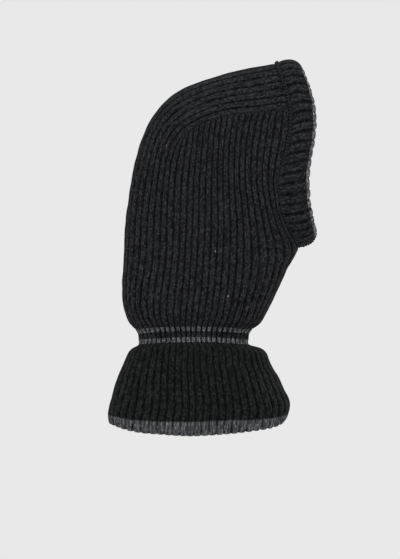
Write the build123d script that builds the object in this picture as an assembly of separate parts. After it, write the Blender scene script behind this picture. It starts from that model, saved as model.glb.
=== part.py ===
"""Rib-knit balaclava, upright and opened as it is worn.

Millimetres, +Z up. The face looks towards -Y and the wearer's right is -X. The origin is
inside the top of the crown, on the axis of the neck, where the head carries the knit.

The whole object is one bent tube. Its cross sections are rows: each row is a closed curve
that runs from the back or top midline (angle 0) to the front midline (angle pi) on both
sides. The rows lie level at the hem and neck, then fan out about the chin until they stand
upright at the face edge. Every knitted piece is a patch of that tube between some rows and
some angles, and it has the thickness of its knit.
"""
from build123d import *
import os
from collections import namedtuple
from math import copysign, cos, pi, sin

# Driving dimensions
KNIT = 4.0                  # thickness of the rib knit in the hood and collar
BAND_LAYER = 3.0            # thickness of each of the two layers of the face band
LAYER_GAP = 0.3             # between the two layers of the face band
BODY_GAP = 0.3              # between knit that moves and knit that does not
JOIN_GAP = 1.2              # between two panels along the line where they are joined
SEAM_LIFT = 0.6             # between a seam or label and the knit that it lies on
SEAM_HEIGHT = 2.0           # how far a seam ridge stands off the knit
SEAM_WIDTH = 3.4
TAPE_WIDTH = 7.0            # of the seam allowance inside the front midline
SQUARENESS = 2.2            # exponent of the section curve, where 2 is an ellipse
BOW_SOFTNESS = 1.4          # keeps a bowed row round where it crosses the midline
SECTION_STEPS = 12          # points from back to front on one side of a row

NECK_BORE = 54.0            # inner radius of the drawn-in neck
NECK_OUTER = 58.0
NECK_TOP_OUTER = 61.9       # the top of the neck opens towards the hood
NECK_TOP_INNER = 57.9
NECK_SHOULDER_OUTER = 59.0
NECK_TOP_Z = -253.7
UPPER_STRIPE_BOTTOM_Z = -258.0
LOWER_STRIPE_TOP_Z = -264.5
NECK_BOTTOM_Z = -269.4
ELASTIC_RADIUS = 56.3       # of the elastic threads' loops round the neck
ELASTIC_THREAD = 0.7        # radius of each thread
ELASTIC_ROOM = 0.05

LABEL_WIDTH = 30.0
LABEL_THICKNESS = 0.6

# bow is how far a row's sides lead its two ends along the tube, and twist is how far its
# back half leads its front half. strip is the arc from the midline to the edge of the
# centre strip.
Row = namedtuple(
    "Row", "back_y back_z front_y front_z half_width bow twist strip", defaults=[0.0])

HOOD_ROWS = [
    Row(62.2, NECK_TOP_Z + BODY_GAP, -62.2, NECK_TOP_Z + BODY_GAP, 62.2, 0.0, 0.0, 67.5),
    Row(66.9, -248.3, -69.0, -248.3, 65.0, 0.0, 0.0, 71.5),
    Row(72.8, -237.4, -76.7, -237.4, 67.6, 0.0, 0.0, 76.0),
    Row(75.8, -212.0, -91.3, -212.0, 67.0, 0.0, 0.0, 78.0),
    Row(74.2, -180.0, -99.5, -193.5, 65.0, 0.0, 0.0, 79.0),
    Row(73.0, -145.0, -103.6, -187.5, 63.5, 0.0, 0.0, 78.5),
    Row(67.9, -108.0, -106.2, -183.0, 63.0, 0.0, 0.0, 75.5),
    Row(59.8, -72.1, -108.0, -180.0, 62.5, 0.0, 0.0, 71.0),
    Row(42.7, -29.4, -109.3, -177.6, 62.0, 0.0, 0.0, 67.5),
    Row(30.9, -16.5, -109.9, -176.5, 61.6, 0.0, 0.0, 69.0),
    Row(16.8, -5.8, -110.4, -175.4, 61.0, 0.0, 0.0, 71.5),
    Row(-19.6, 10.4, -111.0, -174.1, 60.0, -1.0, 2.8, 75.0),
    Row(-55.0, 19.1, -111.5, -172.9, 58.5, -2.3, 6.2, 77.0),
    Row(-86.4, 25.4, -112.1, -171.9, 57.0, -3.9, 11.3, 78.5),
]
CHIN_TAPE_END = 7           # the tape inside the front midline runs over the rows before this
CROWN_START = 8             # the row where the centre strip turns over the crown

BAND_ROWS = [
    Row(-86.7, 25.6, -112.4, -171.8, 57.0, -3.9, 11.3),
    Row(-94.0, 28.8, -117.2, -169.2, 57.2, -1.6, 10.2),
    Row(-104.0, 29.3, -124.2, -165.4, 56.2, 1.0, 8.4),
    Row(-111.5, 25.6, -128.9, -158.8, 54.2, 3.0, 7.4),
    Row(-115.0, 21.0, -130.8, -152.4, 52.0, 4.0, 6.8),
]
TIPPING_START = 3           # the band row where the grey yarn begins

GATHER_ROWS = [
    Row(NECK_OUTER, NECK_BOTTOM_Z - BODY_GAP, -NECK_OUTER, NECK_BOTTOM_Z - BODY_GAP,
        NECK_OUTER, 0.0, 0.0),
    Row(64.0, -274.6, -68.2, -274.6, 62.0, 0.0, 0.0),
    Row(73.0, -288.3, -80.6, -288.3, 66.8, -0.5, 0.0),
]

COLLAR_ROWS = [
    GATHER_ROWS[-1],
    Row(78.2, -301.0, -87.2, -301.0, 69.5, -2.0, 0.0),
    Row(84.3, -320.0, -96.4, -320.0, 72.5, -4.5, 0.0),
    Row(88.8, -336.0, -102.6, -336.0, 74.6, -6.3, 0.0),
    Row(90.6, -347.0, -100.8, -346.0, 75.4, -6.8, 0.0),
    Row(90.3, -352.5, -98.4, -351.4, 75.4, -12.3, 0.0),
    Row(88.6, -356.2, -95.6, -354.4, 75.0, -12.8, 0.0),
]
HEM_START = 4               # the collar row where the grey hem begins
BIND_OFF_START = 5          # the collar row where the cast-off edge begins


def signed_power(value):
    """Squares off a sine or cosine, so that a section has flatter sides than an ellipse."""
    return copysign(abs(value) ** (2 / SQUARENESS), value)


def row_point(row, angle, inset):
    """A point of a row. Negative angles are the wearer's right side."""
    back = Vector(0, row.back_y, row.back_z)
    chord = Vector(0, row.front_y, row.front_z) - back
    along = chord.normalized()
    tube_direction = Vector(0, along.Z, -along.Y)
    share = (1 - signed_power(cos(angle))) / 2
    width = signed_power(sin(angle))
    lead = row.bow * abs(width) ** BOW_SOFTNESS + row.twist * sin(2 * pi * share)
    side_view = back + along * (inset + share * (chord.length - 2 * inset)) + tube_direction * lead
    return side_view + Vector((row.half_width - inset) * width, 0, 0)


def arc_angle(row, arc):
    """The angle at which the outer arc from the midline reaches a length."""
    step = pi / 400
    angle = 0.0
    length = 0.0
    point = row_point(row, angle, 0)
    while True:
        following = row_point(row, angle + step, 0)
        advance = (following - point).length
        if length + advance >= arc:
            return angle + step * (arc - length) / advance
        angle += step
        length += advance
        point = following


def angle_steps(start, end, steps=SECTION_STEPS):
    return [start + (end - start) * step / steps for step in range(steps + 1)]


def patch(rows, angles_of, outer_inset, inner_inset):
    """A closed solid: the tube's stretch over the rows and angles, between two insets."""
    skins = []
    for inset in (outer_inset, inner_inset):
        grid = [[row_point(row, angle, inset) for angle in angles_of(row)] for row in rows]
        skins.append(Face.make_surface_from_array_of_points(grid, tol=0.02))
    outer, inner = skins
    rims = [Face.make_surface_from_curves(a, b) for a, b in zip(outer.edges(), inner.edges())]
    return Solid(Shell([outer, inner] + rims))


def loop(rows, outer_inset, inner_inset):
    """A closed ring of knit, made as two mirrored halves."""
    left = patch(rows, lambda row: angle_steps(0, pi), outer_inset, inner_inset)
    return left + mirror(left, about=Plane.YZ)


def row_between(first, second, share):
    return Row(*(a + (b - a) * share for a, b in zip(first, second)))


def midline_tape(rows, middle_angle, width, outer_inset, inner_inset):
    """A narrow tape along the back (angle 0) or front (angle pi) midline."""
    def angles_of(row):
        half = arc_angle(row, width / 2)
        return angle_steps(middle_angle - half, middle_angle + half, 4)
    return patch(rows, angles_of, outer_inset, inner_inset)


def centre_strip(rows):
    def angles_of(row):
        edge = arc_angle(row, row.strip)
        return angle_steps(-edge, edge)
    return patch(rows, angles_of, 0, KNIT)


def side_panel():
    def angles_of(row):
        return angle_steps(arc_angle(row, row.strip + JOIN_GAP), pi)
    return patch(HOOD_ROWS, angles_of, 0, KNIT)


def crown_seam():
    """The ridge where the centre strip is joined to a side panel's live ribs."""
    def angles_of(row):
        low = arc_angle(row, row.strip - SEAM_WIDTH / 2)
        high = arc_angle(row, row.strip + SEAM_WIDTH / 2)
        return angle_steps(low, high, 4)
    return patch(HOOD_ROWS[CROWN_START:-1], angles_of, -SEAM_HEIGHT, -SEAM_LIFT)


def face_band_seam():
    """The ridge round the face where the band is linked to the hood."""
    before = row_between(BAND_ROWS[0], BAND_ROWS[1], 0.1)
    after = row_between(BAND_ROWS[0], BAND_ROWS[1], 0.45)
    return loop([before, after], -SEAM_HEIGHT, -SEAM_LIFT)


def neck_ring(profile):
    """A ring of knit round the neck axis, from its (radius, height) outline."""
    outline = Polyline(*[(radius, 0, height) for radius, height in profile], close=True)
    return revolve(make_face(outline), Axis.Z)


def elastic_loops(thread_radius):
    """The elastic threads, one at each edge of the band between the two grey stripes."""
    thread = Torus(ELASTIC_RADIUS, thread_radius)
    return [Pos(0, 0, height) * thread for height in (UPPER_STRIPE_BOTTOM_Z, LOWER_STRIPE_TOP_Z)]


def neck_pieces():
    """The three rings of the neck, grooved for the elastic threads where they meet."""
    grooves = elastic_loops(ELASTIC_THREAD + ELASTIC_ROOM)
    upper = neck_ring([
        (NECK_TOP_INNER, NECK_TOP_Z),
        (NECK_TOP_OUTER, NECK_TOP_Z),
        (NECK_SHOULDER_OUTER, UPPER_STRIPE_BOTTOM_Z),
        (NECK_BORE, UPPER_STRIPE_BOTTOM_Z),
    ])
    middle = neck_ring([
        (NECK_BORE, UPPER_STRIPE_BOTTOM_Z),
        (NECK_SHOULDER_OUTER, UPPER_STRIPE_BOTTOM_Z),
        (NECK_OUTER, LOWER_STRIPE_TOP_Z),
        (NECK_BORE, LOWER_STRIPE_TOP_Z),
    ])
    lower = neck_ring([
        (NECK_BORE, LOWER_STRIPE_TOP_Z),
        (NECK_OUTER, LOWER_STRIPE_TOP_Z),
        (NECK_OUTER, NECK_BOTTOM_Z),
        (NECK_BORE, NECK_BOTTOM_Z),
    ])
    return {
        "neck_stripe_upper": upper - grooves[0],
        "neck_rib_band": middle - grooves[0] - grooves[1],
        "neck_stripe_lower": lower - grooves[1],
        "neck_elastic": Compound(elastic_loops(ELASTIC_THREAD)),
    }


def hood_pieces():
    left_panel = side_panel()
    left_seam = crown_seam()
    return {
        "crown_strip": centre_strip(HOOD_ROWS[CROWN_START:]),
        "nape_panel": centre_strip(HOOD_ROWS[:CROWN_START + 1]),
        "side_panel_left": left_panel,
        "side_panel_right": mirror(left_panel, about=Plane.YZ),
        "crown_seam_left": left_seam,
        "crown_seam_right": mirror(left_seam, about=Plane.YZ),
        "chin_seam": midline_tape(
            HOOD_ROWS[:CHIN_TAPE_END], pi, TAPE_WIDTH, KNIT + SEAM_LIFT, KNIT + SEAM_HEIGHT),
    }


def band_pieces():
    """The doubled band: outer layer, facing behind it and grey tipping over the fold."""
    plain_rows = BAND_ROWS[:TIPPING_START + 1]
    facing_inset = BAND_LAYER + LAYER_GAP
    both_layers = facing_inset + BAND_LAYER
    return {
        "face_band_outer": loop(plain_rows, 0, BAND_LAYER),
        "face_band_facing": loop(plain_rows, facing_inset, both_layers),
        "face_band_tipping": loop(BAND_ROWS[TIPPING_START:], 0, both_layers),
        "face_band_seam": face_band_seam(),
        "face_band_join": midline_tape(
            [row_between(BAND_ROWS[0], BAND_ROWS[1], 0.7)] + BAND_ROWS[1:TIPPING_START + 1],
            pi, SEAM_WIDTH, -SEAM_HEIGHT, -SEAM_LIFT),
    }


def collar_pieces():
    inside = KNIT + SEAM_LIFT
    label_rows = COLLAR_ROWS[1:3]
    return {
        "neck_gather": loop(GATHER_ROWS, 0, KNIT),
        "collar_flare": loop(COLLAR_ROWS[:HEM_START + 1], 0, KNIT),
        "hem_tipping": loop(COLLAR_ROWS[HEM_START:BIND_OFF_START + 1], 0, KNIT),
        "hem_bind_off": loop(COLLAR_ROWS[BIND_OFF_START:], 0, KNIT),
        "collar_seam": midline_tape(
            COLLAR_ROWS[:HEM_START + 1], pi, TAPE_WIDTH, inside, KNIT + SEAM_HEIGHT),
        "care_label": midline_tape(label_rows, 0, LABEL_WIDTH, inside, inside + LABEL_THICKNESS),
    }


def main():
    os.makedirs("parts", exist_ok=True)
    pieces = {**hood_pieces(), **band_pieces(), **neck_pieces(), **collar_pieces()}
    for name, piece in pieces.items():
        export_step(piece, f"parts/{name}.step")
        print(f"{name}: {piece.volume:.0f} mm3")


main()
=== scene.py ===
"""Rib-knit balaclava: the knit, seams, tipping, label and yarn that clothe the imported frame.

The geometry is worked out in millimetres in the frame's own axes (+Z up, the face towards
-Y, the wearer's left at +X) and turned into metres when a mesh is made.
"""
from collections import namedtuple
from math import pi, radians

import bpy
import numpy as np
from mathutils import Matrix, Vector


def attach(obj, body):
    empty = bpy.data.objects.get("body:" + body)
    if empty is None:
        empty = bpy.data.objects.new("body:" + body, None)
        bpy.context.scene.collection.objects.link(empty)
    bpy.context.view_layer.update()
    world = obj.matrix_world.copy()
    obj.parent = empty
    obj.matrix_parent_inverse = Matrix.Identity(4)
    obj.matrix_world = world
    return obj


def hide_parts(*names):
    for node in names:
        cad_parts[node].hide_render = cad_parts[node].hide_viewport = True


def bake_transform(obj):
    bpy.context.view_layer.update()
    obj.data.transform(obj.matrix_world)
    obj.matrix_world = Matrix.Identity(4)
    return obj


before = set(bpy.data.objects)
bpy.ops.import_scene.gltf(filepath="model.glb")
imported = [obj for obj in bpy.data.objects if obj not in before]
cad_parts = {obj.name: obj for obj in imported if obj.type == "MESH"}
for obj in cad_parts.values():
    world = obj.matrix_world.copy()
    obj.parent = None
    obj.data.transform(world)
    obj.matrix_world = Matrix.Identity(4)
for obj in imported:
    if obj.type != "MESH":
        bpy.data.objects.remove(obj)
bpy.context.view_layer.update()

MM = 0.001

# ---------------------------------------------------------------- the frame's tube, repeated

SQUARENESS = 2.2            # exponent of the section curve, where 2 is an ellipse
BOW_SOFTNESS = 1.4          # keeps a bowed row round where it crosses the midline
KNIT = 4.0                  # thickness of the rib knit in the hood and collar
BAND_LAYER = 3.0            # thickness of each of the two layers of the face band
BAND_THICKNESS = 6.3        # both layers and the gap between them
NECK_TOP_Z = -253.7
UPPER_STRIPE_BOTTOM_Z = -258.0
LOWER_STRIPE_TOP_Z = -264.5
NECK_BOTTOM_Z = -269.4

# A row is one closed section of the tube, from the back or top midline to the front one. bow is
# how far its sides lead its ends, twist how far its back half leads its front half, and strip
# the arc from the midline to the edge of the centre strip.
Row = namedtuple(
    "Row", "back_y back_z front_y front_z half_width bow twist strip", defaults=[0.0])

HOOD_ROWS = [
    Row(62.2, -253.4, -62.2, -253.4, 62.2, 0.0, 0.0, 67.5),
    Row(66.9, -248.3, -69.0, -248.3, 65.0, 0.0, 0.0, 71.5),
    Row(72.8, -237.4, -76.7, -237.4, 67.6, 0.0, 0.0, 76.0),
    Row(75.8, -212.0, -91.3, -212.0, 67.0, 0.0, 0.0, 78.0),
    Row(74.2, -180.0, -99.5, -193.5, 65.0, 0.0, 0.0, 79.0),
    Row(73.0, -145.0, -103.6, -187.5, 63.5, 0.0, 0.0, 78.5),
    Row(67.9, -108.0, -106.2, -183.0, 63.0, 0.0, 0.0, 75.5),
    Row(59.8, -72.1, -108.0, -180.0, 62.5, 0.0, 0.0, 71.0),
    Row(42.7, -29.4, -109.3, -177.6, 62.0, 0.0, 0.0, 67.5),
    Row(30.9, -16.5, -109.9, -176.5, 61.6, 0.0, 0.0, 69.0),
    Row(16.8, -5.8, -110.4, -175.4, 61.0, 0.0, 0.0, 71.5),
    Row(-19.6, 10.4, -111.0, -174.1, 60.0, -1.0, 2.8, 75.0),
    Row(-55.0, 19.1, -111.5, -172.9, 58.5, -2.3, 6.2, 77.0),
    Row(-86.4, 25.4, -112.1, -171.9, 57.0, -3.9, 11.3, 78.5),
]
CHIN_ROW = 4                # the row that ends under the chin
CROWN_START = 8             # the row where the centre strip turns over the crown

BAND_ROWS = [
    Row(-86.7, 25.6, -112.4, -171.8, 57.0, -3.9, 11.3),
    Row(-94.0, 28.8, -117.2, -169.2, 57.2, -1.6, 10.2),
    Row(-104.0, 29.3, -124.2, -165.4, 56.2, 1.0, 8.4),
    Row(-111.5, 25.6, -128.9, -158.8, 54.2, 3.0, 7.4),
    Row(-115.0, 21.0, -130.8, -152.4, 52.0, 4.0, 6.8),
]
TIPPING_START = 3           # the band row where the grey yarn begins

# From the hem up to the neck. The row in the middle of the gather lies 2 to 3 mm higher than
# the frame's, because the stripes' dip lowers the knit there.
COLLAR_ROWS = [
    Row(88.6, -356.2, -95.6, -354.4, 75.0, -12.8, 0.0),
    Row(90.3, -352.5, -98.4, -351.4, 75.4, -12.3, 0.0),
    Row(90.6, -347.0, -100.8, -346.0, 75.4, -6.8, 0.0),
    Row(88.8, -336.0, -102.6, -336.0, 74.6, -6.3, 0.0),
    Row(84.3, -320.0, -96.4, -320.0, 72.5, -4.5, 0.0),
    Row(78.2, -301.0, -87.2, -301.0, 69.5, -2.0, 0.0),
    Row(73.0, -288.3, -80.6, -288.3, 66.8, -0.5, 0.0),
    Row(64.0, -272.4, -68.6, -271.6, 62.0, 0.0, 0.0),
    Row(58.4, NECK_BOTTOM_Z, -58.4, NECK_BOTTOM_Z, 58.4, 0.0, 0.0),
    Row(58.4, LOWER_STRIPE_TOP_Z, -58.4, LOWER_STRIPE_TOP_Z, 58.4, 0.0, 0.0),
    Row(59.2, UPPER_STRIPE_BOTTOM_Z, -59.2, UPPER_STRIPE_BOTTOM_Z, 59.2, 0.0, 0.0),
    Row(62.0, NECK_TOP_Z, -62.0, NECK_TOP_Z, 62.0, 0.0, 0.0),
]
BIND_OFF_TOP, HEM_TOP, FLARE_TOP, GATHER_TOP, LOWER_STRIPE, RIB_BAND = 1, 2, 6, 8, 9, 10

# ---------------------------------------------------------------- the knit

STRIP_RIBS = 8              # ribs in one half of the centre strip
SIDE_RIBS = 19              # ribs in a side panel
HALF_RIBS = STRIP_RIBS + SIDE_RIBS
EDGE_RIB = 1.9              # width of the ribs on the midlines, against 1 in the middle of a side
RIB_UNEVENNESS = 0.05       # how far the width of a rib strays
BAND_RIBS = 24              # ribs in one half of the face band
COURSE = 1.95               # height of one stitch
WALES = 3                   # columns of stitches in a rib and its groove
WALE_SHIFT = 0.5            # puts the line between two wales on the crest of a rib
ROW_STEP = 2.0              # distance between the mesh's rows
SIDE_ROWS = 126             # mesh rows in a side panel
SIDE_LENGTH = 250.0         # the length that its courses are counted over

# Where the mesh's columns lie across one rib, from groove to groove.
RIB_COLUMNS = np.array([0.0, 0.05, 0.12, 0.22, 0.35, 0.5, 0.65, 0.78, 0.88, 0.95])
RIB_FLATNESS = 2.3          # how flat the top of a rib is
WALE_GROOVE = 0.15          # share of the relief lost between the two wales of a rib
WALE_GROOVE_WIDTH = 0.16
HOOD_RELIEF = 2.2           # depth of the groove between two ribs
CROWN_RELIEF = 1.2          # the strip is stretched over the crown, so its grooves are shallower
CROWN_EASE = 40.0           # length over which the strip's relief changes
HEM_RELIEF = 1.6
NECK_RELIEF = 2.0
BAND_RELIEF = 1.4
BAND_INSIDE_RELIEF = 0.3
INSIDE_RELIEF = 0.8
SADDLE = 3.5                # how far the neck stripes dip at the front and back
SADDLE_Z = -261.5
SADDLE_REACH = 30.0
SADDLE_RADIUS = 60.0
SCALLOP = 0.6               # how far the crest of a rib reaches past its grooves at the hem

TABLE_ROWS = 400            # of the table of points that a tube's surface is read from
TABLE_COLUMNS = 321
OUTLINE_STEPS = 900

# The unevenness of the knit: the wavelength and height of each wave.
WAVES = ((95.0, 0.45), (60.0, 0.3), (37.0, 0.2), (21.0, 0.14), (13.0, 0.1))
CALM = 0.8                  # share of the waves that the drawn-in neck takes away
CALM_REACH = 14.0


def natural_spline(knots, values, at):
    """A natural cubic spline through values, one for each knot, read at some places."""
    knots = np.asarray(knots, float)
    values = np.asarray(values, float)
    gaps = np.diff(knots)
    slopes = np.diff(values, axis=0) / gaps.reshape(-1, *[1] * (values.ndim - 1))
    matrix = np.eye(len(knots))
    right = np.zeros_like(values)
    for i in range(1, len(knots) - 1):
        matrix[i, i - 1:i + 2] = gaps[i - 1], 2 * (gaps[i - 1] + gaps[i]), gaps[i]
        right[i] = 6 * (slopes[i] - slopes[i - 1])
    bend = np.linalg.solve(matrix, right.reshape(len(knots), -1)).reshape(values.shape)
    left = np.clip(np.searchsorted(knots, at, side="right") - 1, 0, len(knots) - 2)
    shape = (-1,) + (1,) * (values.ndim - 1)
    gap = gaps[left].reshape(shape)
    a = (knots[left + 1] - at).reshape(shape) / gap
    b = 1 - a
    cubic = (a ** 3 - a) * bend[left] + (b ** 3 - b) * bend[left + 1]
    return a * values[left] + b * values[left + 1] + cubic * gap ** 2 / 6


def unit(vectors):
    return vectors / np.maximum(np.linalg.norm(vectors, axis=-1, keepdims=True), 1e-12)


def signed_power(values):
    return np.sign(values) * np.abs(values) ** (2 / SQUARENESS)


def outline(row, count):
    """Points at equal steps of arc along one half of a row, and the arc's whole length."""
    row = Row(*row)
    angle = np.linspace(0, pi, OUTLINE_STEPS)
    share = (1 - signed_power(np.cos(angle))) / 2
    width = signed_power(np.sin(angle))
    back = np.array([row.back_y, row.back_z])
    chord = np.array([row.front_y, row.front_z]) - back
    forward = unit(chord)
    lead = row.bow * np.abs(width) ** BOW_SOFTNESS + row.twist * np.sin(2 * pi * share)
    side = back + share[:, None] * chord + lead[:, None] * np.array([forward[1], -forward[0]])
    points = np.column_stack([row.half_width * width, side])
    arc = lengths(points)
    even = np.linspace(0, arc[-1], count)
    return np.column_stack([np.interp(even, arc, points[:, k]) for k in range(3)]), arc[-1]


def lengths(points):
    """Distance along a line of points to each of them."""
    steps = np.linalg.norm(np.diff(points, axis=0), axis=-1)
    return np.concatenate([[0.0], np.cumsum(steps)])


class Tube:
    """The knit's outer surface through some rows.

    A place on it is (along, share). along is the distance from the first row, measured on the
    back midline. share is how far round one side it is, from 0 at the back midline to 1 at the
    front one, and it is negative on the wearer's right.
    """

    def __init__(self, rows):
        table = np.array(rows)
        self.row_places = lengths(table[:, :2])
        self.length = self.row_places[-1]
        self.places = np.linspace(0, self.length, TABLE_ROWS)
        fine = natural_spline(self.row_places, table, self.places)
        outlines = [outline(row, TABLE_COLUMNS) for row in fine]
        self.grid = np.array([points for points, arc in outlines])
        self.strip = fine[:, 7] / np.array([arc for points, arc in outlines])

    def strip_share(self, along):
        return np.interp(along, self.places, self.strip)

    def point(self, along, share):
        along, share = np.broadcast_arrays(np.asarray(along, float), np.asarray(share, float))
        row = np.clip(along / self.length, 0, 1) * (TABLE_ROWS - 1)
        column = np.clip(np.abs(share), 0, 1) * (TABLE_COLUMNS - 1)
        i = np.minimum(row.astype(int), TABLE_ROWS - 2)
        j = np.minimum(column.astype(int), TABLE_COLUMNS - 2)
        a = (row - i)[..., None]
        b = (column - j)[..., None]
        near = self.grid[i, j] * (1 - b) + self.grid[i, j + 1] * b
        far = self.grid[i + 1, j] * (1 - b) + self.grid[i + 1, j + 1] * b
        points = near * (1 - a) + far * a
        points[..., 0] *= np.where(share < 0, -1, 1)
        return points


def settle(points):
    """The unevenness of knit that hangs by its own weight, the same for every piece."""
    y, z = points[..., 1], points[..., 2]
    settled = points.copy()
    reach = np.exp(-((z - SADDLE_Z) / SADDLE_REACH) ** 2)
    settled[..., 2] -= SADDLE * reach * (y / SADDLE_RADIUS) ** 2
    calm = 1 - CALM * np.exp(-((z - SADDLE_Z) / CALM_REACH) ** 2)
    random = np.random.default_rng(11)
    for wavelength, height in WAVES:
        for axis in range(3):
            direction = unit(random.normal(size=3))
            phase = random.uniform(0, 2 * pi)
            wave = np.sin((points @ direction) * 2 * pi / wavelength + phase)
            settled[..., axis] += calm * height * wave
    return settled


def rib_height(phase):
    """1 on the crest of a rib and 0 in the groove, with a faint line between its two wales."""
    across = np.abs(2 * phase - 1)
    return 1 - across ** RIB_FLATNESS - WALE_GROOVE * np.exp(-(across / WALE_GROOVE_WIDTH) ** 2)


def rib_positions(first, last):
    """The mesh's columns over some ribs, counted from the midline, and their phase in a rib."""
    whole = np.arange(first, last)
    places = (whole[:, None] + RIB_COLUMNS).ravel()
    return np.append(places, last), np.append(np.tile(RIB_COLUMNS, len(whole)), 0.0)


RIB_WIDTHS = 1 + (EDGE_RIB - 1) * np.linspace(-1, 1, HALF_RIBS) ** 2
RIB_WIDTHS *= 1 + RIB_UNEVENNESS * np.random.default_rng(5).uniform(-1, 1, HALF_RIBS)
STRIP_WIDTHS, SIDE_WIDTHS = RIB_WIDTHS[:STRIP_RIBS], RIB_WIDTHS[STRIP_RIBS:]


def width_share(places, widths):
    """How far over some ribs a place counted in ribs lies, from 0 to 1, or to -1 behind 0."""
    edges = np.append(0, np.cumsum(widths))
    share = np.interp(np.abs(places), np.arange(len(edges)), edges / edges[-1])
    return np.sign(places) * share


def row_steps(start, end):
    return np.linspace(start, end, max(int(abs(end - start) / ROW_STEP), 2) + 1)


def normals_of(grid, closed=False):
    """Unit normals out of the tube, for a grid whose rows follow one another along it."""
    along = np.gradient(grid, axis=0)
    if closed:
        across = np.roll(grid, -1, axis=1) - np.roll(grid, 1, axis=1)
    else:
        across = np.gradient(grid, axis=1)
    return unit(np.cross(along, across))


# ---------------------------------------------------------------- meshes

SHARP_ANGLE = radians(60)


def new_object(name, vertices, faces, uvs, sharp_angle=None):
    """A smooth-shaded object from vertices in millimetres and faces with a UV for each corner."""
    mesh = bpy.data.meshes.new(name)
    mesh.from_pydata((vertices * MM).tolist(), [], faces)
    layer = mesh.uv_layers.new(name="knit")
    layer.data.foreach_set("uv", np.asarray(uvs, np.float32).ravel())
    mesh.shade_smooth()
    if sharp_angle is not None:
        mesh.set_sharp_from_angle(angle=sharp_angle)
    mesh.update()
    made = bpy.data.objects.new(name, mesh)
    bpy.context.scene.collection.objects.link(made)
    return made


def shell(name, outer, inner, uv, closed=False, flip=False):
    """A closed skin: an outer and an inner grid of points, with rims between them."""
    rows, columns = outer.shape[:2]
    count = rows * columns
    wide = columns + 1 if closed else columns
    i, j = np.meshgrid(np.arange(rows - 1), np.arange(wide - 1), indexing="ij")
    i, j = i.ravel(), j.ravel()
    around = np.array([(0, 0), (1, 0), (1, 1), (0, 1)])
    corner_rows = i[:, None] + around[:, 0]
    corner_columns = j[:, None] + around[:, 1]
    side = np.zeros_like(corner_rows)
    pieces = [(corner_rows, corner_columns, side)]
    pieces.append((corner_rows[:, ::-1], corner_columns[:, ::-1], side + 1))
    across = np.arange(wide - 1)
    up = np.arange(rows - 1)
    skins = np.array([0, 0, 1, 1])
    rims = [
        (0 * across[:, None] + [0] * 4, across[:, None] + [0, 1, 1, 0]),
        (0 * across[:, None] + [rows - 1] * 4, across[:, None] + [1, 0, 0, 1]),
    ]
    if not closed:
        rims.append((up[:, None] + [1, 0, 0, 1], 0 * up[:, None] + [0] * 4))
        rims.append((up[:, None] + [0, 1, 1, 0], 0 * up[:, None] + [columns - 1] * 4))
    pieces += [(r, c, 0 * r + skins) for r, c in rims]
    corner_rows, corner_columns, side = (np.concatenate(part) for part in zip(*pieces))
    faces = side * count + corner_rows * columns + corner_columns % columns
    corner_uv = np.stack([uv[0][corner_columns], uv[1][corner_rows]], axis=-1)
    if flip:
        faces = faces[:, ::-1]
        corner_uv = corner_uv[:, ::-1]
    vertices = np.concatenate([outer.reshape(-1, 3), inner.reshape(-1, 3)])
    return new_object(name, vertices, faces.tolist(), corner_uv, SHARP_ANGLE)


def lined(values):
    """A UV coordinate for each column of a closed piece, and one where it meets itself."""
    return np.append(values, values[-1] + (values[-1] - values[-2]))


def rib_patch(name, grid, phase, columns, courses, relief, sink, flip=False):
    """A rib-knit piece under a grid of points, ribbed on the outside and, shallower, inside."""
    normal = normals_of(grid)
    if flip:
        normal = -normal
    height = rib_height(phase)[None, :, None]
    sunk = np.broadcast_to(sink, grid.shape[:2])[..., None]
    outer = grid - normal * (relief * (1 - height) + sunk)
    inner = grid - normal * (KNIT - INSIDE_RELIEF * height)
    return shell(name, outer, inner, (columns * WALES + WALE_SHIFT, courses), flip=flip)


hood = Tube(HOOD_ROWS)
band = Tube(BAND_ROWS)
collar = Tube(COLLAR_ROWS)


# ---------------------------------------------------------------- hood

END_TAPER = 5.0             # a rib flattens over this length before a seam
END_SINK = 1.2


def seam_sink(distance):
    """How much lower the knit lies at some distances from a seam."""
    return END_SINK * np.clip(1 - distance / END_TAPER, 0, 1) ** 2


def strip_piece(name, start, end):
    """A length of the centre strip, whose ribs run along the tube on both sides of the midline."""
    along = row_steps(start, end)
    places, phase = rib_positions(-STRIP_RIBS, STRIP_RIBS)
    share = hood.strip_share(along)[:, None] * width_share(places, STRIP_WIDTHS)
    grid = settle(hood.point(along[:, None] + 0 * places, share))
    corner = hood.row_places[CROWN_START]
    relief = np.interp(along, [corner, corner + CROWN_EASE], [HOOD_RELIEF, CROWN_RELIEF])
    sink = seam_sink(hood.length - along)[:, None]
    return rib_patch(name, grid, phase, places, along / COURSE, relief[:, None, None], sink)


def evenly(along, share, count, widths=None):
    """Places at equal or given steps of length on a line of places on the hood."""
    arc = lengths(hood.point(along, share))
    even = np.linspace(0, 1, count) if widths is None else np.append(0, np.cumsum(widths))
    even = even * arc[-1] / even[-1]
    return np.stack([np.interp(even, arc, along), np.interp(even, arc, share)])


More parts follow.
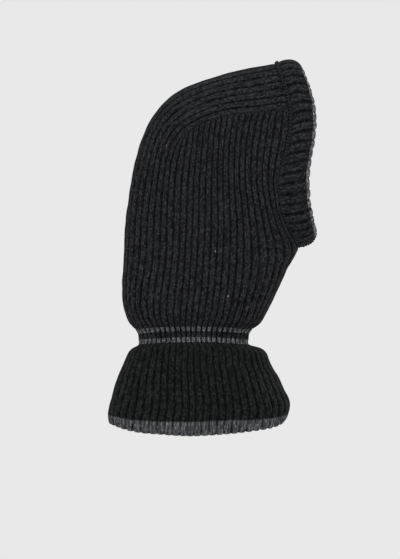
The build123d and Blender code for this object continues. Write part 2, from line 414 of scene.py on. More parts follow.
def side_places():
    """Places of the valleys between a side panel's ribs, from the neck to the crown seam.

    The last valley follows the front midline up to the chin and then the face band's seam, so
    the ribs beside it bend round the chin. The grid starts as a blend of its four edges and is
    then relaxed on the tube until its lines are evenly spread.
    """
    corner = hood.row_places[CROWN_START]
    fine = np.linspace(0, 1, 600)
    edge = fine * corner
    left = evenly(edge, hood.strip_share(edge), SIDE_ROWS)
    edge = corner + fine * (hood.length - corner)
    top = evenly(edge, hood.strip_share(edge), SIDE_RIBS + 1)
    start = hood.strip_share(0)
    bottom = evenly(0 * fine, start + fine * (1 - start), SIDE_RIBS + 1, SIDE_WIDTHS)
    stop = hood.strip_share(hood.length)
    front_along = np.concatenate([fine * hood.length, 0 * fine + hood.length])
    front_share = np.concatenate([0 * fine + 1, 1 - fine * (1 - stop)])
    right = evenly(front_along, front_share, SIDE_ROWS)

    v = np.linspace(0, 1, SIDE_ROWS)[:, None]
    h = np.linspace(0, 1, SIDE_RIBS + 1)[None, :]
    places = []
    for k in range(2):
        sides = (1 - h) * left[k][:, None] + h * right[k][:, None]
        ends = (1 - v) * bottom[k][None, :] + v * top[k][None, :]
        corners = ((1 - v) * ((1 - h) * bottom[k][0] + h * bottom[k][-1])
                   + v * ((1 - h) * top[k][0] + h * top[k][-1]))
        places.append(sides + ends - corners)
    along = np.clip(places[0], 0, hood.length)
    share = np.clip(places[1], 0, 1)
    return relax(along, share)


RELAX_ROUNDS = 1200
RIB_WEIGHT = 12.0           # pull along a rib, against 1 across the ribs
LARGEST_STEP = 5.0          # along the tube in one round, before EAGERNESS
LARGEST_TURN = 0.02         # of the share in one round, before EAGERNESS
EAGERNESS = 0.9             # share of a step that is taken
PROBE_ALONG = 0.8           # how far to each side the tube's slopes are read
PROBE_TURN = 0.003


def relax(along, share):
    """Moves the grid's inner places over the tube until each lies amid its neighbours."""
    inner = (slice(1, -1), slice(1, -1))
    hold = (1 / SIDE_WIDTHS)[None, :, None]
    before, after = hold[:, :-1], hold[:, 1:]
    for _ in range(RELAX_ROUNDS):
        points = hood.point(along, share)
        here = points[inner]
        middle = RIB_WEIGHT * (points[2:, 1:-1] + points[:-2, 1:-1])
        middle += after * points[1:-1, 2:] + before * points[1:-1, :-2]
        pull = middle / (2 * RIB_WEIGHT + before + after) - here
        a, s = along[inner], share[inner]
        low, high = np.maximum(a - PROBE_ALONG, 0), np.minimum(a + PROBE_ALONG, hood.length)
        by_along = (hood.point(high, s) - hood.point(low, s)) / (high - low)[..., None]
        low, high = s - PROBE_TURN, np.minimum(s + PROBE_TURN, 1)
        by_share = (hood.point(a, high) - hood.point(a, low)) / (high - low)[..., None]
        aa = (by_along ** 2).sum(-1) + 1e-5
        bb = (by_share ** 2).sum(-1)
        ab = (by_along * by_share).sum(-1)
        pa = (by_along * pull).sum(-1)
        pb = (by_share * pull).sum(-1)
        spread = aa * bb - ab ** 2 + 1e-6
        step_along = np.clip((pa * bb - pb * ab) / spread, -LARGEST_STEP, LARGEST_STEP)
        step_share = np.clip((pb * aa - pa * ab) / spread, -LARGEST_TURN, LARGEST_TURN)
        along[inner] = np.clip(a + EAGERNESS * step_along, 0, hood.length)
        share[inner] = np.clip(s + EAGERNESS * step_share, 0, 1)
    return along, share


def side_panel(name, places, mirrored):
    along, share = places
    valleys = hood.point(along, share)
    columns, phase = rib_positions(0, SIDE_RIBS)
    grid = natural_spline(np.arange(SIDE_RIBS + 1), valleys.transpose(1, 0, 2), columns)
    grid = grid.transpose(1, 0, 2)
    if mirrored:
        grid[..., 0] *= -1
    grid = settle(grid)
    sink = seam_sink(np.linalg.norm(grid - grid[-1:], axis=-1))
    courses = np.linspace(0, SIDE_LENGTH / COURSE, SIDE_ROWS)
    return rib_patch(name, grid, phase, columns + STRIP_RIBS, courses, HOOD_RELIEF, sink,
                     flip=mirrored)


def neck_share(places):
    """The share of the way round the neck at a number of ribs from the back midline."""
    start = hood.strip_share(0)
    in_strip = width_share(np.abs(places), STRIP_WIDTHS)
    in_side = width_share(np.maximum(np.abs(places) - STRIP_RIBS, 0), SIDE_WIDTHS)
    return np.sign(places) * (start * in_strip + (1 - start) * in_side)


nape_panel = strip_piece("nape_panel_knit", 0, hood.row_places[CROWN_START])
crown_strip = strip_piece("crown_strip_knit", hood.row_places[CROWN_START], hood.length)
panel_places = side_places()
side_panel_left = side_panel("side_panel_left_knit", panel_places, False)
side_panel_right = side_panel("side_panel_right_knit", panel_places, True)


# ---------------------------------------------------------------- neck and collar

def collar_piece(name, start, end, relief):
    """A ring of the neck or collar, whose ribs carry on from the hood's."""
    along = row_steps(start, end)
    places, phase = rib_positions(-HALF_RIBS, HALF_RIBS)
    places, phase = places[:-1], phase[:-1]
    reach = SCALLOP * (rib_height(phase) - 0.5)
    grid = collar.point(along[:, None] + 0 * places, neck_share(places))
    grid[..., 2] -= reach
    grid = settle(grid)
    rise = np.interp(along, *relief)[:, None, None]
    normal = normals_of(grid, True)
    height = rib_height(phase)[None, :, None]
    outer = grid - normal * rise * (1 - height)
    inner = grid - normal * (KNIT - INSIDE_RELIEF * height)
    uv = (lined(places * WALES + WALE_SHIFT), along / COURSE)
    return shell(name, outer, inner, uv, closed=True)


collar_cuts = collar.row_places
collar_relief = (
    [collar_cuts[0], collar_cuts[HEM_TOP], collar_cuts[HEM_TOP + 1], collar_cuts[FLARE_TOP],
     collar_cuts[GATHER_TOP]],
    [HEM_RELIEF, HEM_RELIEF, HOOD_RELIEF, HOOD_RELIEF, NECK_RELIEF])
collar_pieces = {}
for piece_name, first_row, last_row in (
        ("hem_bind_off_knit", 0, BIND_OFF_TOP), ("hem_tipping_knit", BIND_OFF_TOP, HEM_TOP),
        ("collar_flare_knit", HEM_TOP, FLARE_TOP), ("neck_gather_knit", FLARE_TOP, GATHER_TOP),
        ("neck_stripe_lower_knit", GATHER_TOP, LOWER_STRIPE),
        ("neck_rib_band_knit", LOWER_STRIPE, RIB_BAND),
        ("neck_stripe_upper_knit", RIB_BAND, len(COLLAR_ROWS) - 1)):
    collar_pieces[piece_name] = collar_piece(
        piece_name, collar_cuts[first_row], collar_cuts[last_row], collar_relief)


# ---------------------------------------------------------------- face band

FOLD_STEPS = 9
FOLD_RADIUS = BAND_THICKNESS / 2
FOLD_ROOM = 2.4             # how far before the band's last row the fold begins to turn
TIPPING_LAYER = 2.6
band_places, band_phase = rib_positions(-BAND_RIBS, BAND_RIBS)
band_places, band_phase = band_places[:-1], band_phase[:-1]
band_height = rib_height(band_phase)[None, :, None]
tipping_start = band.row_places[TIPPING_START]


BAND_SLIP = 0.04            # how far the ribs slip down towards the edge, as a share of a half
CHIN_START, CHIN_END = 0.8, 0.92   # the shares between which the band's relief fades at the chin
CHIN_FADE = 0.5
band_share = band_places / BAND_RIBS
band_slip = BAND_SLIP * np.sin(pi * np.abs(band_share) ** 3) ** 2 * np.sign(band_share)
chin = np.clip((np.abs(band_share) - CHIN_START) / (CHIN_END - CHIN_START), 0, 1)
band_relief = (BAND_RELIEF * (1 - CHIN_FADE * chin * chin * (3 - 2 * chin)))[None, :, None]


def band_grid(along, inset=0.0):
    """Points of the band with their normals; inset sinks them below the outer surface."""
    share = band_share + band_slip * (along / band.length)[:, None]
    grid = settle(band.point(along[:, None], share))
    normal = normals_of(grid, True)
    return grid - normal * inset, normal


def band_shell(name, grid, outward, thickness, courses):
    """A ribbed layer of the band, with its relief on the side that outward points to."""
    outer = grid - outward * band_relief * (1 - band_height)
    inner = grid - outward * (thickness - BAND_INSIDE_RELIEF * band_height)
    uv = (lined(band_places * WALES + WALE_SHIFT), courses)
    return shell(name, outer, inner, uv, closed=True)


def band_outer():
    along = row_steps(0, tipping_start)
    grid, normal = band_grid(along)
    grid = grid - normal * seam_sink(along)[:, None, None]
    return band_shell("face_band_outer_knit", grid, normal, BAND_LAYER, along / COURSE)


def band_facing():
    """The inside layer, taken from the edge back to the seam so that it faces inwards."""
    along = row_steps(0, tipping_start)
    grid, normal = band_grid(along, BAND_THICKNESS)
    return band_shell("face_band_facing_knit", grid[::-1], -normal[::-1], BAND_LAYER,
                      along / COURSE)


def band_tipping():
    """The grey edge: out along the outer layer, over the fold and back along the facing."""
    along = row_steps(tipping_start, band.length - FOLD_ROOM)
    outer_side, normal = band_grid(along)
    forward = unit(outer_side[-1] - outer_side[-2])
    forward = unit(forward - normal[-1] * (forward * normal[-1]).sum(-1, keepdims=True))
    turn = np.linspace(0, pi, FOLD_STEPS)[1:-1, None, None]
    around = np.cos(turn) * normal[-1] + np.sin(turn) * forward
    fold = outer_side[-1] - normal[-1] * FOLD_RADIUS + around * FOLD_RADIUS
    inner_side = (outer_side - normal * BAND_THICKNESS)[::-1]
    grid = np.concatenate([outer_side, fold, inner_side])
    outward = np.concatenate([normal, around, -normal[::-1]])
    courses = lengths(grid[:, 0]) / COURSE
    return band_shell("face_band_tipping_knit", grid, outward, TIPPING_LAYER, courses)


face_band = {"outer": band_outer(), "facing": band_facing(), "tipping": band_tipping()}


# ---------------------------------------------------------------- seams

BEAD_AROUND, BEAD_RINGS = 8, 5
BEAD_LEAN = radians(28)
BEAD_REACH = 0.54           # half a bead's length, in stitches
BEAD_WIDTH = 0.29           # half its width, as a share of the seam's
BEAD_ASIDE = 0.25           # how far it lies to one side, as such a share
AHEAD = 0.4                 # how far ahead the seam's direction is read


def bead_template():
    """Vertices and faces of one rounded bead of yarn, one unit long each way from its middle."""
    rings = np.linspace(0, pi, BEAD_RINGS + 2)[1:-1]
    turn = np.arange(BEAD_AROUND) * 2 * pi / BEAD_AROUND
    body = np.array([(np.cos(r), np.sin(r) * np.cos(t), np.sin(r) * np.sin(t))
                     for r in rings for t in turn])
    vertices = np.concatenate([body, [(1, 0, 0), (-1, 0, 0)]])
    faces = []
    for ring in range(BEAD_RINGS - 1):
        for k in range(BEAD_AROUND):
            a = ring * BEAD_AROUND + k
            b = ring * BEAD_AROUND + (k + 1) % BEAD_AROUND
            faces.append((a, a + BEAD_AROUND, b + BEAD_AROUND, b))
    first, last = len(body), len(body) + 1
    bottom = (BEAD_RINGS - 1) * BEAD_AROUND
    for k in range(BEAD_AROUND):
        following = (k + 1) % BEAD_AROUND
        faces.append((first, k, following, first))
        faces.append((last, bottom + following, bottom + k, last))
    return vertices, faces


def chain_seam(name, points, normal, pitch, width, height, closed=False):
    """A line of linked stitches on a surface: two slanted beads of yarn for each stitch."""
    arc = lengths(np.concatenate([points, points[:1]]) if closed else points)
    if closed:
        points = np.concatenate([points, points[:1]])
        normal = np.concatenate([normal, normal[:1]])
    count = max(int(arc[-1] / pitch), 2)
    middle = (np.arange(count) + 0.5) * arc[-1] / count
    pitch = arc[-1] / count
    here = np.column_stack([np.interp(middle, arc, points[:, k]) for k in range(3)])
    ahead = np.column_stack([np.interp(middle + AHEAD, arc, points[:, k]) for k in range(3)])
    up = unit(np.column_stack([np.interp(middle, arc, normal[:, k]) for k in range(3)]))
    forward = unit(ahead - here)
    sideways = unit(np.cross(up, forward))
    forward = np.cross(sideways, up)
    body, faces = bead_template()
    vertices, all_faces, uvs = [], [], []
    for leg in (-1, 1):
        lean = BEAD_LEAN * leg
        long_axis = np.cos(lean) * forward + np.sin(lean) * sideways
        cross_axis = np.cos(lean) * sideways - np.sin(lean) * forward
        centre = here + sideways * (leg * width * BEAD_ASIDE)
        bead = (body[None, :, :1] * long_axis[:, None] * pitch * BEAD_REACH
                + body[None, :, 1:2] * cross_axis[:, None] * width * BEAD_WIDTH
                + body[None, :, 2:3] * up[:, None] * height / 2)
        for k in range(count):
            offset = len(vertices) * len(body)
            vertices.append(centre[k] + bead[k])
            for face in faces:
                corners = face[:3] if face[0] == face[3] else face
                all_faces.append([offset + c for c in corners])
                uvs += [(3 * leg + 0.5 * body[c][1], k + 0.4 * body[c][0]) for c in corners]
    return new_object(name, np.concatenate(vertices), all_faces, uvs)


SEAM_PITCH = 3.5
crown_along = np.linspace(hood.row_places[CROWN_START], hood.length - 1.0, 200)
crown_share = hood.strip_share(crown_along)


def surface_line(tube, along, share, lift, mirrored=False):
    """A line on a tube's settled surface, lifted off it, with the surface's normals."""
    step, turn = 0.6, 0.004
    sign = -1 if mirrored else 1
    around = [settle(tube.point(along + a, sign * (share + s)))
              for a, s in ((0, 0), (-step, 0), (step, 0), (0, -turn), (0, turn))]
    normal = unit(np.cross(around[2] - around[1], sign * (around[4] - around[3])))
    return around[0] + normal * lift, normal


def crown_seam(name, mirrored):
    points, normal = surface_line(hood, crown_along, crown_share, -1.5, mirrored)
    return chain_seam(name, points, normal, SEAM_PITCH, 2.2, 2.0)


RIDGE_LIFT = 0.4            # of the middle of the ridge round the face, over the knit
RIDGE_SINK = 2.4            # how much lower it lies beside the cheeks and under the chin
RIDGE_HIGH, RIDGE_LOW = 0.42, 0.56   # the shares between which it sinks


def face_seam():
    """The ridge round the face where the band is linked to the hood, high over the forehead."""
    share = np.linspace(-1, 1, 900)[:-1]
    grid = settle(band.point(np.array([[0.0], [0.9], [1.8]]), share[None]))
    normal = normals_of(grid, True)[1]
    sunk = np.clip((np.abs(share) - RIDGE_HIGH) / (RIDGE_LOW - RIDGE_HIGH), 0, 1)
    lift = (RIDGE_LIFT - RIDGE_SINK * sunk * sunk * (3 - 2 * sunk))[:, None]
    return chain_seam("face_band_seam_chain", grid[1] + normal * lift, normal, SEAM_PITCH,
                      3.0, 2.8, closed=True)


ALLOWANCE = np.array([0.4, 2.0, 3.6])   # distances from the seam that its allowance covers
ALLOWANCE_DEPTH = 2.1
ALLOWANCE_THICKNESS = 1.5


def face_seam_allowance():
    """The edges of hood and band that the linking holds together, just inside the ridge."""
    behind = hood.point(hood.length - ALLOWANCE[::-1, None], band_share)
    ahead = band.point(ALLOWANCE[:, None], band_share)
    grid = settle(np.concatenate([behind, ahead]))
    normal = normals_of(grid, True)
    outer = grid - normal * ALLOWANCE_DEPTH
    uv = (lined(band_places * WALES), lengths(grid[:, 0]) / COURSE)
    return shell("face_band_seam_allowance", outer, outer - normal * ALLOWANCE_THICKNESS, uv,
                 closed=True)


BESIDE_FRONT = 1.0 - 0.004  # a share just short of the front midline
INSIDE_SEAM = (-KNIT - 0.6, 2.4, 5.0, 1.8)   # lift, pitch, width and height


def midline_seam(name, tube, start, end, lift, pitch, width, height):
    """A seam up the front midline."""
    along = np.linspace(start, end, 160)
    points, normal = surface_line(tube, along, np.full_like(along, BESIDE_FRONT), lift)
    points[:, 0] = 0
    normal[:, 0] = 0
    return chain_seam(name, points, unit(normal), pitch, width, height)


crown_seams = {side: crown_seam(f"crown_seam_{side}_chain", side == "right")
               for side in ("left", "right")}
face_band_seam = face_seam()
face_band_allowance = face_seam_allowance()
face_band_join = midline_seam("face_band_join_chain", band, 4.5, tipping_start + 4,
                              -0.2, 2.6, 2.6, 2.0)
chin_seam = midline_seam("chin_seam_chain", hood, 3.0, hood.row_places[CHIN_ROW], *INSIDE_SEAM)
collar_seam = midline_seam("collar_seam_chain", collar, collar_cuts[HEM_TOP],
                           collar_cuts[FLARE_TOP], *INSIDE_SEAM)


# ---------------------------------------------------------------- label

LABEL_WIDTH = 30.0
LABEL_ROWS = 4, 5            # the collar rows between which it hangs
LABEL_THICKNESS = 0.45
LABEL_DROOP = 1.6           # how far its lower edge hangs away from the knit
LABEL_GAP = 0.7
COLLAR_HALF_GIRTH = 275.0   # near the hem; the label comes out narrower where it hangs


def care_label():
    """A blank woven label, sewn inside the back of the collar by its upper edge."""
    lower, upper = (collar_cuts[row] for row in LABEL_ROWS)
    along = np.linspace(lower + 0.5, upper - 0.5, 15)
    across = np.linspace(-1, 1, 25)
    share = across[None, :] * (LABEL_WIDTH / 2) / COLLAR_HALF_GIRTH
    grid = settle(collar.point(along[:, None] + 0 * share, share))
    normal = normals_of(grid)
    hang = np.linspace(LABEL_DROOP, 0.0, len(along))[:, None, None]
    curl = 0.5 * np.sin(across * 2.6 + 0.6)[None, :, None] * hang
    face = grid - normal * (KNIT + LABEL_GAP + hang + curl)
    uv = (across * LABEL_WIDTH, along)
    return shell("care_label_satin", face + normal * LABEL_THICKNESS / 2,
                 face - normal * LABEL_THICKNESS / 2, uv)


label = care_label()


# ---------------------------------------------------------------- materials

class Nodes:
    """Adds shader nodes to a new material and joins them."""

    def __init__(self, name):
        self.material = bpy.data.materials.new(name)
        self.material.use_nodes = True
        self.tree = self.material.node_tree
        self.tree.nodes.clear()

    def add(self, kind, settings=(), **inputs):
        node = self.tree.nodes.new(kind)
        for key, value in dict(settings).items():
            setattr(node, key, value)
        for key, value in inputs.items():
            socket = node.inputs[int(key[2:])] if key.startswith("in") else node.inputs[key]
            if isinstance(value, bpy.types.NodeSocket):
                self.tree.links.new(value, socket)
            else:
                socket.default_value = value
        return node

    def math(self, operation, *values, clamp=False):
        inputs = {f"in{k}": value for k, value in enumerate(values)}
        return self.add("ShaderNodeMath", {"operation": operation, "use_clamp": clamp},
                        **inputs).outputs[0]

    def random_in_cells(self, across, along):
        """Random numbers, the same all over each cell of one unit each way."""
        cell = self.add("ShaderNodeCombineXYZ", in0=self.math("FLOOR", across),
                        in1=self.math("FLOOR", along))
        noise = self.add("ShaderNodeTexWhiteNoise", {"noise_dimensions": "2D"},
                         Vector=cell.outputs[0])
        return self.add("ShaderNodeSeparateXYZ", in0=noise.outputs[1])

    def mix(self, amount, first, second, clamp=True):
        """The colour that lies some amount of the way from one to another."""
        return self.add("ShaderNodeMix", {"data_type": "RGBA", "clamp_factor": clamp},
                        in0=amount, in6=first, in7=second).outputs[2]

    def surface(self, colour, bump, roughness, sheen, specular=0.15):
        shader = self.add("ShaderNodeBsdfPrincipled")
        self.tree.links.new(colour, shader.inputs["Base Color"])
        self.tree.links.new(bump, shader.inputs["Normal"])
        shader.inputs["Roughness"].default_value = roughness
        shader.inputs["Specular IOR Level"].default_value = specular
        shader.inputs["Sheen Weight"].default_value = sheen
        shader.inputs["Sheen Roughness"].default_value = 0.55
        output = self.add("ShaderNodeOutputMaterial")
        self.tree.links.new(shader.outputs[0], output.inputs["Surface"])
        return self.material


LINT = (0.22, 0.22, 0.21, 1)
LINT_RARITY = 0.9999        # the share of stitches that hold no lint
WALE_SHADE = 0.4             # painted shade: how much darker the small groove between the two wales of a rib is
WALE_SHADE_WIDTH = 0.2
LEG_SLANT = 1.1             # courses that a leg of a stitch rises over one wale
STREAK_STEP = 0.4           # streaks to a course
GROOVE_SHADE_STEP = 0.55             # changes of a groove's painted shade to a course
FLECK, FLECK_POWER = 2.6, 2.2
STREAK, STREAK_POWER = 0.6, 2.0
CLOUD, CLOUD_SCALE = 0.35, 26.0
FUZZ_SCALE = 1900.0
YARN_ROUGHNESS, YARN_SHEEN, YARN_SPECULAR = 0.95, 0.02, 0.04


def fuzz_noise(n, place):
    return n.add("ShaderNodeTexNoise", Vector=place, Scale=FUZZ_SCALE, Detail=3.0, Roughness=0.6)


def knit_material(name, dark, light, flat_top=0.3, groove=0.24, wale_shade=WALE_SHADE):
    """Marled yarn in stitches: V-shaped legs, flecks from stitch to stitch and fine fuzz.

    The UV map counts wales across and courses along, so the stitches follow the ribs. A rib
    keeps its colour out to flat_top and then darkens to groove, both as shares: painted shade
    in the grooves, deeper or lighter at random along each groove. The line between the two
    wales of a rib is painted shade too, and the yarn darkens between the legs of the stitches,
    painted shade where their relief is low.
    """
    n = Nodes(name)
    uv = n.add("ShaderNodeUVMap", {"uv_map": "knit"}).outputs[0]
    parts = n.add("ShaderNodeSeparateXYZ", in0=uv)
    wale, course = parts.outputs[0], parts.outputs[1]
    across = n.math("FRACT", wale)
    from_middle = n.math("ABSOLUTE", n.math("SUBTRACT", across, 0.5))
    slanted = n.math("ADD", course, n.math("MULTIPLY", from_middle, LEG_SLANT))
    along = n.math("FRACT", slanted)
    rounded = n.math("SINE", n.math("MULTIPLY", along, pi))
    leg = n.math("SINE", n.math("MULTIPLY", n.math("FRACT", n.math("MULTIPLY", wale, 2.0)), pi))
    relief = n.math("MULTIPLY", n.math("POWER", rounded, 0.6), n.math("POWER", leg, 0.5))

    fleck = n.random_in_cells(n.math("MULTIPLY", wale, 2.0), slanted)
    streak = n.random_in_cells(wale, n.math("MULTIPLY", slanted, STREAK_STEP))
    place = n.add("ShaderNodeTexCoord").outputs["Object"]
    fuzz = fuzz_noise(n, place)
    cloud = n.add("ShaderNodeTexNoise", Vector=place, Scale=CLOUD_SCALE, Detail=2.0, Roughness=0.5)

    rib_count = n.math("DIVIDE", n.math("SUBTRACT", wale, WALE_SHIFT), float(WALES))
    rib = n.math("FRACT", rib_count)
    from_crest = n.math("ABSOLUTE", n.math("SUBTRACT", n.math("MULTIPLY", rib, 2.0), 1.0))
    # Painted shade in the groove between two ribs: its darkness changes at random along the
    # groove.
    gap = n.random_in_cells(n.math("ADD", rib_count, 0.5), n.math("MULTIPLY", course, GROOVE_SHADE_STEP))
    groove_shade = n.math("ADD", gap.outputs[0], n.math("MULTIPLY", gap.outputs[1], 1.5))
    groove_shade = n.math("MULTIPLY", groove_shade, groove)
    # Painted shade: the colour darkens from the flat top of a rib down into its groove.
    shade = n.add("ShaderNodeMapRange", {"interpolation_type": "SMOOTHSTEP"}, Value=from_crest,
                  **{"From Min": flat_top, "To Min": 1.0, "To Max": groove_shade})
    # Painted shade in the small groove between the two wales of a rib.
    line = n.math("DIVIDE", from_crest, WALE_SHADE_WIDTH, clamp=True)
    line = n.math("ADD", n.math("MULTIPLY", line, wale_shade), 1.0 - wale_shade)
    shade = n.math("MULTIPLY", shade.outputs[0], line)

    flecks = n.math("MULTIPLY", n.math("POWER", fleck.outputs[0], FLECK_POWER), FLECK)
    streaks = n.math("MULTIPLY", n.math("POWER", streak.outputs[0], STREAK_POWER), STREAK)
    marl = n.math("ADD", flecks, streaks)
    amount = n.math("MULTIPLY", marl, n.math("ADD", fuzz.outputs[0], 0.5))
    amount = n.math("ADD", amount, n.math("MULTIPLY", cloud.outputs[0], CLOUD))
    # Painted shade: the yarn darkens between the legs of the stitches, where the stitch relief is
    # low.
    amount = n.math("MULTIPLY", amount, n.math("ADD", n.math("MULTIPLY", relief, 0.5), 0.25))
    colour = n.mix(amount, (*dark, 1), (*light, 1), clamp=False)

    shaded = n.add("ShaderNodeVectorMath", {"operation": "SCALE"}, in0=colour, Scale=shade)
    has_lint = n.math("GREATER_THAN", fleck.outputs[1], LINT_RARITY)
    linted = n.mix(has_lint, shaded.outputs[0], LINT)

    height = n.math("ADD", relief, n.math("MULTIPLY", fuzz.outputs[0], 0.5))
    bump = n.add("ShaderNodeBump", Strength=0.6, Distance=0.0004, Height=height)
    return n.surface(linted, bump.outputs[0], YARN_ROUGHNESS, YARN_SHEEN,
                     specular=YARN_SPECULAR)


def yarn_material(name, dark, light):
    """Twisted yarn for the stitches of a seam, with painted shade between its plies."""
    n = Nodes(name)
    uv = n.add("ShaderNodeUVMap", {"uv_map": "knit"}).outputs[0]
    parts = n.add("ShaderNodeSeparateXYZ", in0=uv)
    twist = n.math("ADD", n.math("MULTIPLY", parts.outputs[1], 3.0), parts.outputs[0])
    ply = n.math("ABSOLUTE", n.math("SINE", n.math("MULTIPLY", twist, pi)))
    place = n.add("ShaderNodeTexCoord").outputs["Object"]
    fuzz = fuzz_noise(n, place)
    # The colour darkens between the plies of the twist, painted shade where their bump is low.
    amount = n.math("MULTIPLY", fuzz.outputs[0], n.math("ADD", n.math("MULTIPLY", ply, 1.3), 0.15))
    colour = n.mix(amount, (*dark, 1), (*light, 1))
    height = n.math("ADD", ply, n.math("MULTIPLY", fuzz.outputs[0], 0.6))
    bump = n.add("ShaderNodeBump", Strength=0.5, Distance=0.0003, Height=height)
    return n.surface(colour, bump.outputs[0], YARN_ROUGHNESS, YARN_SHEEN,
                     specular=YARN_SPECULAR)


def satin_material(name, warp, weft):
    """Fine satin ribbon: long shiny floats across the label."""
    n = Nodes(name)
    uv = n.add("ShaderNodeUVMap", {"uv_map": "knit"}).outputs[0]
    threads = n.add("ShaderNodeTexWave", {"wave_type": "BANDS", "bands_direction": "X"},
                    Vector=uv, Scale=1.6, Distortion=0.4)
    colour = n.mix(threads.outputs[1], (*warp, 1), (*weft, 1))
    bump = n.add("ShaderNodeBump", Strength=0.3, Distance=0.0001, Height=threads.outputs[1])
    return n.surface(colour, bump.outputs[0], 0.38, 0.1, specular=0.5)


def elastic_material(name, colour_value):
    """Covered elastic: a fine helical wrap round a rubber core."""
    n = Nodes(name)
    place = n.add("ShaderNodeTexCoord").outputs["Object"]
    wrap = n.add("ShaderNodeTexWave", {"wave_type": "BANDS", "bands_direction": "DIAGONAL"},
                 Vector=place, Scale=420.0, Distortion=0.6)
    colour = n.mix(wrap.outputs[1], (*[c * 0.6 for c in colour_value], 1), (*colour_value, 1))
    bump = n.add("ShaderNodeBump", Strength=0.5, Distance=0.0002, Height=wrap.outputs[1])
    return n.surface(colour, bump.outputs[0], 0.6, 0.1, specular=0.4)


charcoal_rib = knit_material("charcoal_rib", (0.005, 0.0052, 0.0057), (0.0278, 0.0290, 0.0316))
band_rib = knit_material("band_rib", (0.007, 0.0072, 0.0079), (0.027, 0.0282, 0.0307))
collar_rib = knit_material("collar_rib", (0.0035, 0.0039, 0.0039), (0.0175, 0.0190, 0.0190))
tipping_yarn = knit_material("tipping_yarn", (0.045, 0.046, 0.050), (0.190, 0.194, 0.206),
                             groove=0.35, wale_shade=0.5)
grey_yarn = knit_material("grey_yarn", (0.030, 0.031, 0.033), (0.112, 0.115, 0.121),
                          groove=0.35, wale_shade=0.6)
# A lighter copy of the grey yarn: a painted highlight on the neck stripes, which face slightly
# downwards, with wide painted shade in the gaps between their ribs.
lit_stripe_yarn = knit_material("lit_stripe_yarn", (0.032, 0.033, 0.035), (0.140, 0.144, 0.151),
                            flat_top=0.38, groove=0.06, wale_shade=0.2)
seam_yarn = yarn_material("seam_yarn", (0.004, 0.0042, 0.0046), (0.040, 0.0415, 0.045))
label_satin = satin_material("label_satin", (0.020, 0.021, 0.023), (0.035, 0.036, 0.038))
elastic_thread = elastic_material("elastic_thread", (0.03, 0.03, 0.03))


# ---------------------------------------------------------------- what each piece stands for


def stands_for(piece, node, material):
    piece.data.materials.append(material)
    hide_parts(node)


for piece, node, slot, material in (
        (nape_panel, "nape_panel", "charcoal_rib", charcoal_rib),
        (side_panel_left, "side_panel_left", "charcoal_rib", charcoal_rib),
        (side_panel_right, "side_panel_right", "charcoal_rib", charcoal_rib),
        (chin_seam, "chin_seam", "seam_yarn", seam_yarn)):
    stands_for(piece, node, material)
    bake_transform(piece)

for piece, node, slot, material in (
        (crown_strip, "crown_strip", "charcoal_rib", charcoal_rib),
        (crown_seams["left"], "crown_seam_left", "seam_yarn", seam_yarn),
        (crown_seams["right"], "crown_seam_right", "seam_yarn", seam_yarn),
        (face_band["outer"], "face_band_outer", "band_rib", band_rib),
        (face_band["facing"], "face_band_facing", "band_rib", band_rib),
        (face_band["tipping"], "face_band_tipping", "grey_yarn", tipping_yarn),
        (face_band_seam, "face_band_seam", "seam_yarn", seam_yarn),
        (face_band_allowance, "face_band_seam", "charcoal_rib", charcoal_rib),
        (face_band_join, "face_band_join", "seam_yarn", seam_yarn)):
    stands_for(piece, node, material)
    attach(piece, "hood")

for ring, slot, material in (
        ("neck_stripe_upper", "grey_yarn", lit_stripe_yarn),
        ("neck_rib_band", "charcoal_rib", charcoal_rib),
        ("neck_stripe_lower", "grey_yarn", lit_stripe_yarn)):
    piece = collar_pieces[f"{ring}_knit"]
    stands_for(piece, ring, material)
    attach(piece, "neck")

for part in ("neck_gather", "collar_flare"):
    piece = collar_pieces[f"{part}_knit"]
    stands_for(piece, part, collar_rib)
    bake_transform(piece)
stands_for(collar_seam, "collar_seam", seam_yarn)
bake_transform(collar_seam)
for part in ("hem_tipping", "hem_bind_off"):
    piece = collar_pieces[f"{part}_knit"]
    stands_for(piece, part, grey_yarn)
    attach(piece, "collar")
stands_for(label, "care_label", label_satin)
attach(label, "collar")


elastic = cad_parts["neck_elastic"]
elastic.data.materials.clear()
elastic.data.materials.append(elastic_thread)


# ---------------------------------------------------------------- stage, light and camera

def plane(name, centre, size, material):
    half = size / 2
    mesh = bpy.data.meshes.new(name)
    corners = [(-half, -half, 0), (half, -half, 0), (half, half, 0), (-half, half, 0)]
    mesh.from_pydata(corners, [], [(0, 1, 2, 3)])
    made = bpy.data.objects.new(name, mesh)
    made.location = centre
    mesh.materials.append(material)
    bpy.context.scene.collection.objects.link(made)
    return made


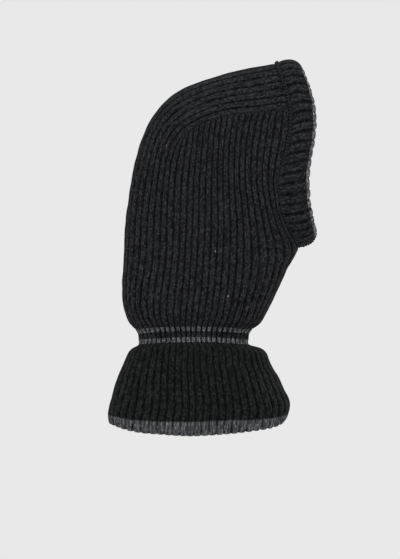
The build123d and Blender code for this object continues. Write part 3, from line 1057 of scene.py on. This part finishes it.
def paper_material():
    n = Nodes("pale_paper")
    place = n.add("ShaderNodeTexCoord").outputs["Object"]
    grain = n.add("ShaderNodeTexNoise", Vector=place, Scale=90.0, Detail=3.0)
    colour = n.mix(grain.outputs[0], (0.74, 0.74, 0.74, 1), (0.78, 0.78, 0.78, 1))
    bump = n.add("ShaderNodeBump", Strength=0.05, Distance=0.0002, Height=grain.outputs[0])
    return n.surface(colour, bump.outputs[0], 0.9, 0.0)


BACKGROUND = 0.813
floor = plane("floor", (0, 0, -0.92), 8.0, paper_material())

world = bpy.data.worlds.new("studio")
world.use_nodes = True
backdrop = world.node_tree.nodes["Background"]
backdrop.inputs[0].default_value = (BACKGROUND, BACKGROUND, BACKGROUND, 1)
bpy.context.scene.world = world
bpy.context.scene.view_settings.view_transform = "Standard"


def aim(thing, target):
    direction = Vector(target) - thing.location
    thing.rotation_euler = direction.to_track_quat("-Z", "Y").to_euler()


LIGHT_TARGET = (0, -0.01, -0.16)


def soft_light(name, place, size, watts):
    data = bpy.data.lights.new(name, "AREA")
    data.shape = "SQUARE"
    data.size = size
    data.energy = watts
    made = bpy.data.objects.new(name, data)
    made.location = place
    aim(made, LIGHT_TARGET)
    bpy.context.scene.collection.objects.link(made)


soft_light("key", (-1.2, -0.5, 1.5), 0.9, 14)
soft_light("side", (-1.3, 1.3, 0.2), 1.2, 4)
soft_light("far_side", (1.6, -1.2, 0.9), 1.4, 12)

CAMERA_DISTANCE = 9.0
CAMERA_Y, CAMERA_Z = -0.0069, -0.204
FRAME_HEIGHT = 0.5925        # of what the camera sees at the object, along its long side
SENSOR_MM = 36
lens_data = bpy.data.cameras.new("camera")
lens_data.lens = CAMERA_DISTANCE * SENSOR_MM / FRAME_HEIGHT
camera = bpy.data.objects.new("camera", lens_data)
camera.location = (-CAMERA_DISTANCE, CAMERA_Y, CAMERA_Z)
camera.rotation_euler = (radians(90), 0, radians(-90))
bpy.context.scene.collection.objects.link(camera)
bpy.context.scene.camera = camera
